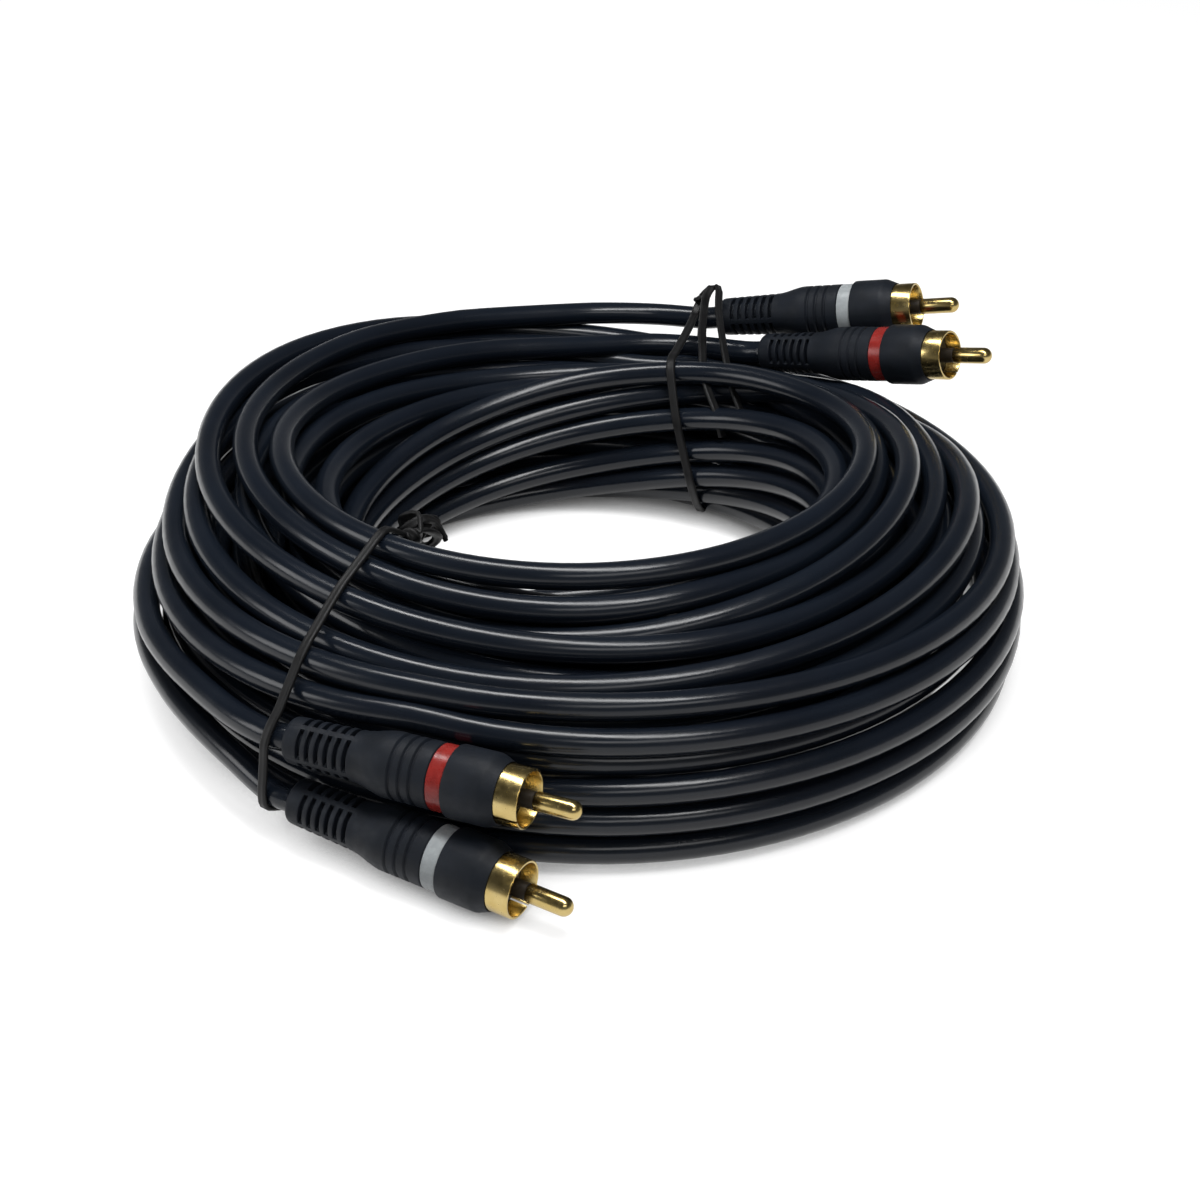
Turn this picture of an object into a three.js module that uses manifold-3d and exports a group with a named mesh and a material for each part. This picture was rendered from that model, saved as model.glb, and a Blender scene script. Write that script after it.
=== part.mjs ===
// A stereo audio cable, coiled for storage: two round cords side by side, with a phono plug on
// each of their four ends, held in a ring by two wire ties.
// Millimetres, +Z up. The coil lies flat on z = 0.
import * as THREE from 'three';
import { mergeVertices } from 'three/addons/utils/BufferGeometryUtils.js';
import Module from 'manifold-3d';

const wasm = await Module();
wasm.setup();

// The cord, and the ring that its turns fill
const cordDiameter = 4.7;
const coilOuterRadius = 83;
const coilInnerRadius = 40;
const coilHeight = 39.4;
const crownInnerRadius = 48.5;
const crownOuterRadius = 60;
const crownRound = 2.8;
const crownDrop = 1.2;
const shoulderRadius = 76;
const shoulderHeight = 30;
const flankRadius = 80.5;
const flankHeight = 24;
const coilWaistHeight = 12;
const outerWaistInset = 0.5;
const innerWaistInset = 1.5;
const coilFootRound = 3;

// Gold plated contact parts of a plug
const pinDiameter = 3.2;
const pinReach = 9;
const pinNeckDiameter = 1.8;
const solderCupBore = 0.95;
const solderCupDepth = 2.6;
const shellDiameter = 9.8;
const shellWall = 0.45;
const shellReach = 4;
const shellSeatDepth = 6.5;
const shellBackWall = 0.8;
const barrelDiameter = 5.9;
const barrelWall = 0.45;
const barrelLength = 3.4;
const shellSlitWidth = 0.5;
const insulatorRecess = 3;
const insulatorNeckOverhang = 1;
const collarDiameter = 2.9;
const collarReach = 1;

// Moulded body of a plug, from the cord end to the front face
const bootRearDiameter = 7.8;
const bootFrontDiameter = 8.6;
const bootLength = 12.7;
const bootEdgeRound = 0.8;
const slotCount = 6;
const slotPitch = 1.75;
const slotWidth = 0.8;
const slotWall = 0.5;
const firstSlot = 2.9;
const webCount = 4;
const webWidth = 0.85;
const taperLength = 6.6;
const gripDiameter = 11;
const gripLength = 8.05;
const grooveCount = 3;
const groovePitch = 1.9;
const grooveWidth = 0.6;
const grooveDepth = 0.35;
const firstGroove = 1.2;
const bandWidth = 2.95;
const bandRecess = 0.5;
const bandThickness = 0.6;
const headDiameter = 12;
const headLength = 8.85;
const headChamferLength = 2.1;
const headChamferDepth = 0.9;

// Stripped cord inside the boot
const jacketSeat = 18.5;
const coreDiameter = 2.4;
const coreLength = 6;
const conductorDiameter = 0.7;
const conductorReach = 2.2;

// Wire ties
const tieDiameter = 1.2;
const tieTwistPitch = 6.5;
const tieTwistRadius = 0.95;
const tieNearAngle = 4;

// Clearances
const seatGap = 0.1;
const touchGap = 0.35;

// Facets
const coilFacets = 36;
const plugFacets = 12;
const cornerFacets = 2;
const cordSides = 10;
const cordStep = 2.5 * cordDiameter;
const leadSamples = 40;
const tieSides = 6;
const tieStep = 3;
const tieLoopPoints = 32;
const twistPoints = 8;
const wrapFacets = 24;

// Each plug: where its boot ends, as an angle around the coil, a distance in from the coil's outer
// radius and a height; the way it points, as a heading and a climb; and its turn about its own axis.
// The lead is the open stretch of cord from the boot to where it joins the turns of the coil.
const plugs = [
  {
    name: 'front_red', band: 0x93302b, angle: 235.3, inset: 0, height: 18, heading: -25.2, climb: 1.5,
    roll: 40, lead: [[-57.2, -60.2, 17.3], [-64.6, -50.2, 16.6], [-71.2, -39.6, 15.8]],
  },
  {
    name: 'front_white', band: 0xa9adb0, angle: 236.6, inset: -2.1, height: 8, heading: -29.6, climb: -2.7,
    roll: 40, lead: [[-56.6, -62.2, 9.4], [-64.6, -51.8, 10], [-71, -41.4, 10.2]],
  },
  {
    name: 'back_red', band: 0x93302b, angle: 59.6, inset: 8.4, height: 26.6, heading: -33.8, climb: 13.3,
    roll: 55, lead: [[25.2, 70.2, 24.9], [15, 70.6, 25.4], [4.8, 68, 26.2]],
  },
  {
    name: 'back_white', band: 0xa9adb0, angle: 69.2, inset: 0.3, height: 29.7, heading: -23.4, climb: 12,
    roll: 55, lead: [[16.4, 81.4, 28.2], [6.4, 81.2, 28.4], [-3.6, 79.2, 28.8]],
  },
];

// Each tie: its angle around the coil on the crown, outside and at the inner foot; where on the coil's
// section its two ends meet, as a radius and a height; the way the twist runs from there, and the free
// ends beyond the twist.
const ties = [
  {
    name: 'front_tie', crownAngle: 225.5, outerAngle: 232.5, footAngle: 227, meet: [47, 39],
    twistTurns: 1.5, twistAim: [0.78, 0.52, -0.28],
    tails: [[[-22.4, -24.2, 32.6], [-24.8, -21.6, 30.2]], [[-23.8, -26.6, 30.4], [-26.4, -27.4, 27.6]]],
  },
  {
    name: 'back_tie', crownAngle: 69, outerAngle: 72.5, footAngle: 51, meet: [79, 33],
    twistTurns: 0.5, twistAim: [0.3, -0.1, 0.95],
    tails: [
      [[28, 73, 38.4], [26.4, 64, 40.4], [24.6, 54, 41.4], [23.8, 45.5, 40.8], [25, 38, 37],
        [27.4, 33, 29], [28.6, 31.6, 22.5]],
      [[31, 72, 38.2], [34, 60, 40.6], [35, 48, 41.4], [35.6, 38.5, 39.6], [35, 31.5, 33], [34, 27.8, 26]],
    ],
  },
];

// Materials
function finish(color, roughness, metalness) {
  return new THREE.MeshStandardMaterial({ color, roughness, metalness });
}

const jacketFinish = finish(0x232a33, 0.38, 0);
const mouldFinish = finish(0x22272f, 0.62, 0);
const goldFinish = finish(0xaa9150, 0.25, 1);
const insulatorFinish = finish(0x2a2620, 0.5, 0);
const tieFinish = finish(0x2b2a2c, 0.55, 0);

// Geometry helpers

function loopArea(points) {
  return points.reduce((sum, p, i) => {
    const q = points[(i + 1) % points.length];
    return sum + p[0] * q[1] - q[0] * p[1];
  }, 0) / 2;
}

// Turns an outline of [radius, height] points about the Z axis. An outline that starts on the axis
// ends on it too; any other closes on itself.
function revolve(outline, facets) {
  const points = loopArea(outline) > 0 ? outline : [...outline].reverse();
  const onAxis = points.some(([radius]) => radius === 0);
  const ring = onAxis ? startOnAxis(points) : [...points, points[0]];
  const profile = ring.map(([radius, height]) => new THREE.Vector2(radius, height));
  const geometry = new THREE.LatheGeometry(profile, facets);
  geometry.rotateX(Math.PI / 2);
  return geometry;
}

// Rolls a closed outline round until its two axis points are its first and last.
function startOnAxis(points) {
  const first = points.findIndex(([radius], i) => radius === 0 && points.at(i - 1)[0] === 0);
  return [...points.slice(first), ...points.slice(0, first)];
}

function toSolid(geometry) {
  const bare = geometry.clone();
  bare.deleteAttribute('normal');
  bare.deleteAttribute('uv');
  const merged = mergeVertices(bare, 1e-3);
  const vertProperties = merged.attributes.position.array;
  const triVerts = new Uint32Array(dropCollapsed(merged.index.array));
  return new wasm.Manifold(new wasm.Mesh({ numProp: 3, vertProperties, triVerts }));
}

function dropCollapsed(index) {
  const kept = [];
  for (let i = 0; i < index.length; i += 3) {
    const [a, b, c] = [index[i], index[i + 1], index[i + 2]];
    if (a !== b && b !== c && c !== a) kept.push(a, b, c);
  }
  return kept;
}

function fromSolid(solid) {
  const mesh = solid.getMesh();
  const geometry = new THREE.BufferGeometry();
  geometry.setAttribute('position', new THREE.BufferAttribute(new Float32Array(mesh.vertProperties), 3));
  geometry.setIndex(new THREE.BufferAttribute(new Uint32Array(mesh.triVerts), 1));
  geometry.computeVertexNormals();
  return geometry;
}

function polygon(radius, sides) {
  const corners = Array.from({ length: sides }, (_, i) => {
    const angle = (i + 0.5) * 2 * Math.PI / sides;
    return new THREE.Vector2(radius * Math.cos(angle), radius * Math.sin(angle));
  });
  return new THREE.Shape(corners);
}

function tubeAlong(points, radius, sides, stepLength) {
  const path = new THREE.CatmullRomCurve3(points);
  const steps = Math.max(2, Math.round(path.getLength() / stepLength));
  return new THREE.ExtrudeGeometry(polygon(radius, sides), { extrudePath: path, steps, bevelEnabled: false });
}

function polar(angleDegrees, radius, height) {
  const angle = THREE.MathUtils.degToRad(angleDegrees);
  return new THREE.Vector3(radius * Math.cos(angle), radius * Math.sin(angle), height);
}

function arc(radius, height, size, fromDegrees, toDegrees, count) {
  return Array.from({ length: count + 1 }, (_, i) => {
    const angle = THREE.MathUtils.degToRad(fromDegrees + (toDegrees - fromDegrees) * i / count);
    return [radius + size * Math.cos(angle), height + size * Math.sin(angle)];
  });
}

// Stations along a plug, measured from the rear face of its boot

const bootEnd = bootLength;
const taperEnd = bootEnd + taperLength;
const gripEnd = taperEnd + gripLength;
const bandEnd = gripEnd + bandWidth;
const headEnd = bandEnd + headLength;
const rim = headEnd + shellReach;
const pinTip = rim + pinReach;
const shellBack = headEnd - shellSeatDepth;
const barrelBack = shellBack - barrelLength;
const coreEnd = jacketSeat + coreLength;
const conductorEnd = coreEnd + conductorReach;
const pinBack = coreEnd + seatGap;
const insulatorFront = rim - insulatorRecess;
const collarEnd = rim + collarReach;
const neckBack = barrelBack - insulatorNeckOverhang;

const cordRadius = cordDiameter / 2;
const headRadius = headDiameter / 2;
const gripRadius = gripDiameter / 2;
const shellRadius = shellDiameter / 2;
const shellBore = shellRadius - shellWall;
const barrelRadius = barrelDiameter / 2;
const barrelBore = barrelRadius - barrelWall;
const pinNeckRadius = pinNeckDiameter / 2;
const slotFloor = cordRadius + seatGap + slotWall;

// Plug pieces, each with its axis on Z and its tip up

function bootSide() {
  const rear = bootRearDiameter / 2;
  const front = bootFrontDiameter / 2;
  const corner = arc(rear - bootEdgeRound, bootEdgeRound, bootEdgeRound, -90, 0, cornerFacets);
  const taper = [0.3, 0.6, 0.85, 1].map((share) => {
    const rise = share * share * (3 - 2 * share);
    return [front + (gripRadius - front) * rise, bootEnd + taperLength * share];
  });
  return [...corner, [front, bootEnd], ...taper];
}

function gripGrooves() {
  const first = taperEnd + firstGroove;
  const floor = gripRadius - grooveDepth;
  return Array.from({ length: grooveCount }, (_, i) => first + i * groovePitch).flatMap((start) => [
    [gripRadius, start], [floor, start], [floor, start + grooveWidth], [gripRadius, start + grooveWidth],
  ]);
}

function bodyOutline() {
  const seat = headRadius - bandRecess - bandThickness - seatGap;
  const chamfer = [[headRadius, headEnd - headChamferLength], [headRadius - headChamferDepth, headEnd]];
  const bores = [
    [shellRadius + seatGap, headEnd], [shellRadius + seatGap, shellBack - seatGap],
    [barrelRadius + seatGap, shellBack - seatGap], [barrelRadius + seatGap, coreEnd + seatGap],
    [coreDiameter / 2 + seatGap, coreEnd + seatGap], [coreDiameter / 2 + seatGap, jacketSeat + seatGap],
    [cordRadius + seatGap, jacketSeat + seatGap], [cordRadius + seatGap, 0],
  ];
  return [
    ...bootSide(), ...gripGrooves(), [gripRadius, gripEnd], [seat, gripEnd], [seat, bandEnd],
    [headRadius, bandEnd], ...chamfer, ...bores,
  ];
}

// A ring slot between the webs that tie the boot's collars together
function slotTool(start) {
  const outside = bootFrontDiameter;
  const ring = toSolid(revolve([
    [slotFloor, start], [outside, start], [outside, start + slotWidth], [slotFloor, start + slotWidth],
  ], plugFacets));
  return Array.from({ length: webCount }, (_, i) => i * 2 * Math.PI / webCount).reduce((left, angle) => {
    const web = new THREE.BoxGeometry(2 * outside, webWidth, 2 * slotWidth);
    web.translate(outside, 0, start + slotWidth / 2);
    web.rotateZ(angle);
    return left.subtract(toSolid(web));
  }, ring);
}

function bodyGeometry() {
  const starts = Array.from({ length: slotCount }, (_, i) => firstSlot + i * slotPitch);
  const body = toSolid(revolve(bodyOutline(), plugFacets));
  return fromSolid(starts.reduce((left, start) => left.subtract(slotTool(start)), body));
}

function bandGeometry() {
  const outer = headRadius - bandRecess;
  const inner = outer - bandThickness;
  return revolve([
    [inner, gripEnd + seatGap], [outer, gripEnd + seatGap],
    [outer, bandEnd - seatGap], [inner, bandEnd - seatGap],
  ], plugFacets);
}

function shellGeometry() {
  const cup = toSolid(revolve([
    [barrelBore, barrelBack], [barrelRadius, barrelBack], [barrelRadius, shellBack], [shellRadius, shellBack],
    [shellRadius, rim], [shellBore, rim], [shellBore, shellBack + shellBackWall],
    [barrelBore, shellBack + shellBackWall],
  ], plugFacets));
  const slit = new THREE.BoxGeometry(shellDiameter, shellSlitWidth, shellReach);
  slit.translate(shellRadius, 0, rim - shellReach / 2 + seatGap);
  return fromSolid(cup.subtract(toSolid(slit)));
}

function insulatorGeometry() {
  const bore = pinNeckRadius + seatGap;
  const disc = shellBore - seatGap;
  const neck = barrelBore - seatGap;
  const step = shellBack + shellBackWall + seatGap;
  const collar = collarDiameter / 2;
  return revolve([
    [bore, neckBack], [neck, neckBack], [neck, step], [disc, step],
    [disc, insulatorFront], [collar, insulatorFront], [collar, collarEnd], [bore, collarEnd],
  ], plugFacets);
}

function pinGeometry() {
  const radius = pinDiameter / 2;
  const cup = solderCupBore / 2;
  const dome = arc(0, pinTip - radius, radius, 0, 70, 3);
  return revolve([
    [0, pinBack + solderCupDepth], [cup, pinBack + solderCupDepth], [cup, pinBack], [pinNeckRadius, pinBack],
    [pinNeckRadius, collarEnd + seatGap], [radius, collarEnd + seatGap], ...dome, [0, pinTip],
  ], plugFacets);
}

function cordEndGeometry() {
  const core = coreDiameter / 2;
  const wire = conductorDiameter / 2;
  return revolve([
    [0, 0], [cordRadius, 0], [cordRadius, jacketSeat], [core, jacketSeat], [core, coreEnd], [wire, coreEnd],
    [wire, conductorEnd], [0, conductorEnd],
  ], plugFacets);
}

// The room that a plug needs in the turns it lies against
function plugRoom() {
  const rear = bootRearDiameter / 2 + touchGap;
  const front = bootFrontDiameter / 2 + touchGap;
  const head = headRadius + touchGap;
  const pin = pinDiameter / 2 + touchGap;
  return revolve([
    [0, -touchGap], [rear, -touchGap], [front, bootEnd], [head, taperEnd], [head, headEnd + touchGap],
    [shellRadius + touchGap, headEnd + touchGap], [shellRadius + touchGap, rim + touchGap],
    [pin, rim + touchGap], [pin, pinTip + touchGap], [0, pinTip + touchGap],
  ], plugFacets);
}

// Placing

function plugPoint(plug) {
  return polar(plug.angle, coilOuterRadius - plug.inset, plug.height);
}

function plugAim(plug) {
  const climb = THREE.MathUtils.degToRad(plug.climb);
  const level = polar(plug.heading, Math.cos(climb), 0);
  return new THREE.Vector3(level.x, level.y, Math.sin(climb));
}

// Stands the plug's Z axis along its aim, with its roll counted from the upward side.
function plugTurn(plug) {
  const aim = plugAim(plug);
  const side = aim.clone().cross(new THREE.Vector3(0, 0, 1)).normalize();
  const up = side.clone().cross(aim);
  const turn = new THREE.Quaternion().setFromRotationMatrix(new THREE.Matrix4().makeBasis(up, side, aim));
  const angle = THREE.MathUtils.degToRad(plug.roll);
  return turn.multiply(new THREE.Quaternion().setFromAxisAngle(new THREE.Vector3(0, 0, 1), angle));
}

function leadPoints(plug) {
  const back = plugAim(plug).negate();
  const start = plugPoint(plug).addScaledVector(back, touchGap);
  const straight = start.clone().addScaledVector(back, cordDiameter);
  return [start, straight, ...plug.lead.map((point) => new THREE.Vector3(...point))];
}

function leadGeometry(plug) {
  return tubeAlong(leadPoints(plug), cordRadius, cordSides, cordStep);
}

function leadRoom(plug) {
  const points = leadPoints(plug);
  const [before, last] = points.slice(-2);
  const beyond = last.clone().add(last.clone().sub(before).setLength(touchGap));
  return tubeAlong([...points, beyond], cordRadius + touchGap, cordSides, cordStep);
}

// The coil

function coilOutline() {
  const foot = arc(coilOuterRadius - coilFootRound, coilFootRound, coilFootRound, -90, 0, cornerFacets);
  const toe = arc(coilInnerRadius + coilFootRound, coilFootRound, coilFootRound, 180, 270, cornerFacets);
  return [
    ...foot, [coilOuterRadius - outerWaistInset, coilWaistHeight], [flankRadius, flankHeight],
    [shoulderRadius, shoulderHeight], [crownOuterRadius, coilHeight - crownDrop],
    [crownOuterRadius - crownRound, coilHeight], [crownInnerRadius + crownRound, coilHeight],
    [crownInnerRadius, coilHeight - crownRound], [coilInnerRadius + innerWaistInset, coilWaistHeight], ...toe,
  ];
}

function coilGeometry() {
  const ring = toSolid(revolve(coilOutline(), coilFacets));
  const withPlugs = plugs.reduce((left, plug) => {
    const room = plugRoom();
    room.applyQuaternion(plugTurn(plug));
    room.translate(...plugPoint(plug).toArray());
    return left.subtract(toSolid(room)).subtract(toSolid(leadRoom(plug)));
  }, ring);
  return fromSolid(ties.reduce((left, tie) => left.subtract(toSolid(tieRoom(tie))), withPlugs));
}

// Wire ties: each is one wire that runs round the coil's section and is twisted on itself.

function convexHull(points) {
  const sorted = [...points].sort((a, b) => a[0] - b[0] || a[1] - b[1]);
  const turns = (o, a, b) => (a[0] - o[0]) * (b[1] - o[1]) - (a[1] - o[1]) * (b[0] - o[0]);
  const half = (list) => list.reduce((chain, point) => {
    while (chain.length > 1 && turns(chain.at(-2), chain.at(-1), point) <= 0) chain.pop();
    chain.push(point);
    return chain;
  }, []).slice(0, -1);
  return [...half(sorted), ...half([...sorted].reverse())];
}

// What the tie binds at its angle: the coil's section and the leads beside it.
function boundSection(tie) {
  const around = tieDiameter / 2 + touchGap + seatGap;
  const circles = coilOutline().map(([radius, height]) => [radius, height, around]);
  for (const plug of plugs) {
    const path = new THREE.CatmullRomCurve3(leadPoints(plug)).getPoints(leadSamples);
    const near = path.filter((point) => Math.abs(angleFrom(tie, point)) < tieNearAngle);
    for (const point of near) circles.push([Math.hypot(point.x, point.y), point.z, cordRadius + around]);
  }
  const outlines = circles.flatMap(([radius, height, size]) => arc(radius, height, size, 0, 360, wrapFacets));
  return convexHull(outlines);
}

function angleFrom(tie, point) {
  const angle = THREE.MathUtils.radToDeg(Math.atan2(point.y, point.x));
  const own = tieAngle(tie, Math.hypot(point.x, point.y), point.z);
  return THREE.MathUtils.euclideanModulo(angle - own + 180, 360) - 180;
}

// The tie's angle around the coil, blended over the coil's section.
function tieAngle(tie, radius, height) {
  const { clamp, lerp } = THREE.MathUtils;
  const outward = clamp((radius - coilInnerRadius) / (coilOuterRadius - coilInnerRadius), 0, 1);
  const inside = lerp(tie.footAngle, tie.crownAngle, clamp(height / coilHeight, 0, 1));
  return lerp(inside, tie.outerAngle, outward);
}

// The loop round the coil, open where the wire's ends meet.
function tieLoop(tie) {
  const lowest = tieDiameter / 2 + touchGap;
  const hull = boundSection(tie);
  const closed = [...hull, hull[0]].map(([radius, height]) => {
    return new THREE.Vector3(radius, 0, Math.max(height, lowest));
  });
  const outline = closed.slice(1).reduce((path, point, i) => {
    path.add(new THREE.LineCurve3(closed[i], point));
    return path;
  }, new THREE.CurvePath());
  const spaced = outline.getSpacedPoints(tieLoopPoints).slice(0, -1);
  const knot = new THREE.Vector3(tie.meet[0], 0, tie.meet[1]);
  const gaps = spaced.map((point) => point.distanceTo(knot));
  const first = gaps.indexOf(Math.min(...gaps));
  const opened = [...spaced.slice(first + 1), ...spaced.slice(0, first)];
  return opened.map((point) => polar(tieAngle(tie, point.x, point.z), point.x, point.z));
}

function tieTwist(tie, loop) {
  const start = loop[0].clone().add(loop.at(-1)).multiplyScalar(0.5);
  const aim = new THREE.Vector3(...tie.twistAim).normalize();
  const span = loop.at(-1).clone().sub(loop[0]);
  const side = span.clone().addScaledVector(aim, -span.dot(aim)).normalize();
  const across = aim.clone().cross(side);
  const count = Math.round(tie.twistTurns * twistPoints);
  const strand = (phase) => Array.from({ length: count + 1 }, (_, i) => {
    const angle = phase + i * 2 * Math.PI / twistPoints;
    return start.clone().addScaledVector(aim, tieDiameter + i * tieTwistPitch / twistPoints)
      .addScaledVector(side, tieTwistRadius * Math.cos(angle))
      .addScaledVector(across, tieTwistRadius * Math.sin(angle));
  });
  return [strand(Math.PI), strand(0)];
}

function tiePoints(tie) {
  const loop = tieLoop(tie);
  const [first, second] = tieTwist(tie, loop);
  const [firstTail, secondTail] = tie.tails.map((tail) => tail.map((point) => new THREE.Vector3(...point)));
  return [...firstTail.reverse(), ...first.reverse(), ...loop, ...second, ...secondTail];
}

function tieGeometry(tie) {
  return tubeAlong(tiePoints(tie), tieDiameter / 2, tieSides, tieStep);
}

function tieRoom(tie) {
  return tubeAlong(tiePoints(tie), tieDiameter / 2 + touchGap, tieSides, tieStep);
}

// Assembly

function named(name, geometry, material) {
  const mesh = new THREE.Mesh(geometry, material);
  mesh.name = name;
  return mesh;
}

function buildPlug(plug) {
  const group = new THREE.Group();
  group.add(
    named(`${plug.name}_pin`, pinGeometry(), goldFinish),
    named(`${plug.name}_shell`, shellGeometry(), goldFinish),
    named(`${plug.name}_insulator`, insulatorGeometry(), insulatorFinish),
    named(`${plug.name}_body`, bodyGeometry(), mouldFinish),
    named(`${plug.name}_band`, bandGeometry(), finish(plug.band, 0.3, 0)),
    named(`${plug.name}_cord_end`, cordEndGeometry(), jacketFinish),
  );
  group.position.copy(plugPoint(plug));
  group.quaternion.copy(plugTurn(plug));
  return group;
}

const cable = new THREE.Group();
cable.add(named('coil', coilGeometry(), jacketFinish));
for (const plug of plugs) {
  cable.add(buildPlug(plug));
  cable.add(named(`${plug.name}_lead`, leadGeometry(plug), jacketFinish));
}
for (const tie of ties) cable.add(named(tie.name, tieGeometry(tie), tieFinish));

// The origin is on the table, under the middle of the whole cable's footprint.
cable.updateMatrixWorld(true);
const middle = new THREE.Box3().setFromObject(cable, true).getCenter(new THREE.Vector3());
cable.position.set(-middle.x, -middle.y, 0);

export default cable;
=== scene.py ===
# %% [markdown]
# A stereo audio cable, coiled for storage. Two round PVC cords run side by side, each one ends in a
# moulded phono plug at both ends, and two coated wire ties hold the ring together. This script dresses
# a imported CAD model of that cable. It works in metres, and lengths that come from the cable itself are
# written in millimetres and multiplied by MM.

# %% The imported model
import math

import bpy
import numpy as np
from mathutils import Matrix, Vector


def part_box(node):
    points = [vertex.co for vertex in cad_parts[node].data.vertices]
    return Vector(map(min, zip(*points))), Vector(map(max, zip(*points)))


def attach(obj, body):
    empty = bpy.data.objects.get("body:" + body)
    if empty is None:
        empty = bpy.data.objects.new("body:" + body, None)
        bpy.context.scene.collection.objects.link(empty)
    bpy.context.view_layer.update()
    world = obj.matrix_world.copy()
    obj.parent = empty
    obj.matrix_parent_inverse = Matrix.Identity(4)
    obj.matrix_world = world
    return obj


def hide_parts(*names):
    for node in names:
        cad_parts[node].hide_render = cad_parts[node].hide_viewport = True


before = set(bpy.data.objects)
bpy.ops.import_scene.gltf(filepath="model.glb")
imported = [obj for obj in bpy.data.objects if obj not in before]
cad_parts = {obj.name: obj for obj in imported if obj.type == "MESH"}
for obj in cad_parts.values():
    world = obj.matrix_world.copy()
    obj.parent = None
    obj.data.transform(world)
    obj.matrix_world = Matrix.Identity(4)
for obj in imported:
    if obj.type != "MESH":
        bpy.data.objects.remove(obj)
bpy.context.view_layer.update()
MM = 0.001
coil_low, coil_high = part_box("coil")
RING_CENTRE = np.array([(coil_low.x + coil_high.x) / 2, (coil_low.y + coil_high.y) / 2, 0]) / MM
print("nodes", len(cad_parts), "ring centre in mm", RING_CENTRE.round(2))

# %% [markdown]
# The picture is a product shot from about 30 degrees above the table, taken with a short telephoto
# lens. A long lens from far away flattens the ring, and a wide one close by makes its front too large.
# The camera below stands where both the round of the coil and the four plugs come out at their places.

# %% Camera
LENS = 68.7
SENSOR = 36.0
CAMERA_DOWN = 30.5
CAMERA_PLACE = np.array([3.6, -377.5, 226.1])

camera_data = bpy.data.cameras.new("camera")
camera_data.lens = LENS
camera_data.sensor_width = SENSOR
camera = bpy.data.objects.new("camera", camera_data)
bpy.context.scene.collection.objects.link(camera)
camera.location = Vector((CAMERA_PLACE + RING_CENTRE) * MM)
camera.rotation_euler = (math.radians(90 - CAMERA_DOWN), 0, 0)
camera_data.clip_start = 0.01
camera_data.clip_end = 20
bpy.context.scene.camera = camera
print("camera", [round(x, 4) for x in camera.location])

# %% [markdown]
# Each plug is placed as on the CAD model: where its boot ends, as an angle round the coil, a distance
# in from the coil's edge and a height, then its heading, its climb and its roll about its own axis. The
# lead is the open stretch of cord between the boot and the turns, with its points given in a list.

# %% Where the plugs and leads are
COIL_RADIUS = 83.0
CORD = 4.7
PLUGS = {
    "front_red": dict(angle=236, inset=0.15, height=18, heading=-25.2, climb=1.5, roll=107,
                      lead=[(-57.2, -60.2, 17.3), (-64.6, -50.2, 16.6), (-71.2, -39.6, 15.8)]),
    "front_white": dict(angle=237.3, inset=-2, height=7.95, heading=-29.6, climb=-2.7, roll=202,
                        lead=[(-56.6, -62.2, 9.4), (-64.6, -51.8, 10), (-71, -41.4, 10.2)]),
    "back_red": dict(angle=58.9, inset=8.45, height=26.6, heading=-33.8, climb=13.3, roll=202,
                     lead=[(25.2, 70.2, 24.9), (15, 70.6, 25.4), (4.8, 68, 26.2)]),
    "back_white": dict(angle=68.5, inset=0.35, height=29, heading=-23.4, climb=12.7, roll=178,
                       lead=[(16.4, 81.4, 27.6), (6.4, 81.2, 28), (-3.6, 79.2, 28.6)]),
}


def polar(degrees, radius, height):
    angle = np.radians(degrees)
    return np.stack([radius * np.cos(angle), radius * np.sin(angle), height + 0 * angle], -1)


def plug_axes(plug):
    """The plug's rear end and its three directions: up, side and the way it points."""
    rear = polar(plug["angle"], COIL_RADIUS - plug["inset"], plug["height"])
    climb = math.radians(plug["climb"])
    aim = polar(plug["heading"], math.cos(climb), math.sin(climb))
    side = np.cross(aim, [0, 0, 1])
    side /= np.linalg.norm(side)
    return rear, np.cross(side, aim), side, aim


for name, plug in PLUGS.items():
    print(name, "rear end at", plug_axes(plug)[0].round(1))
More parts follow.
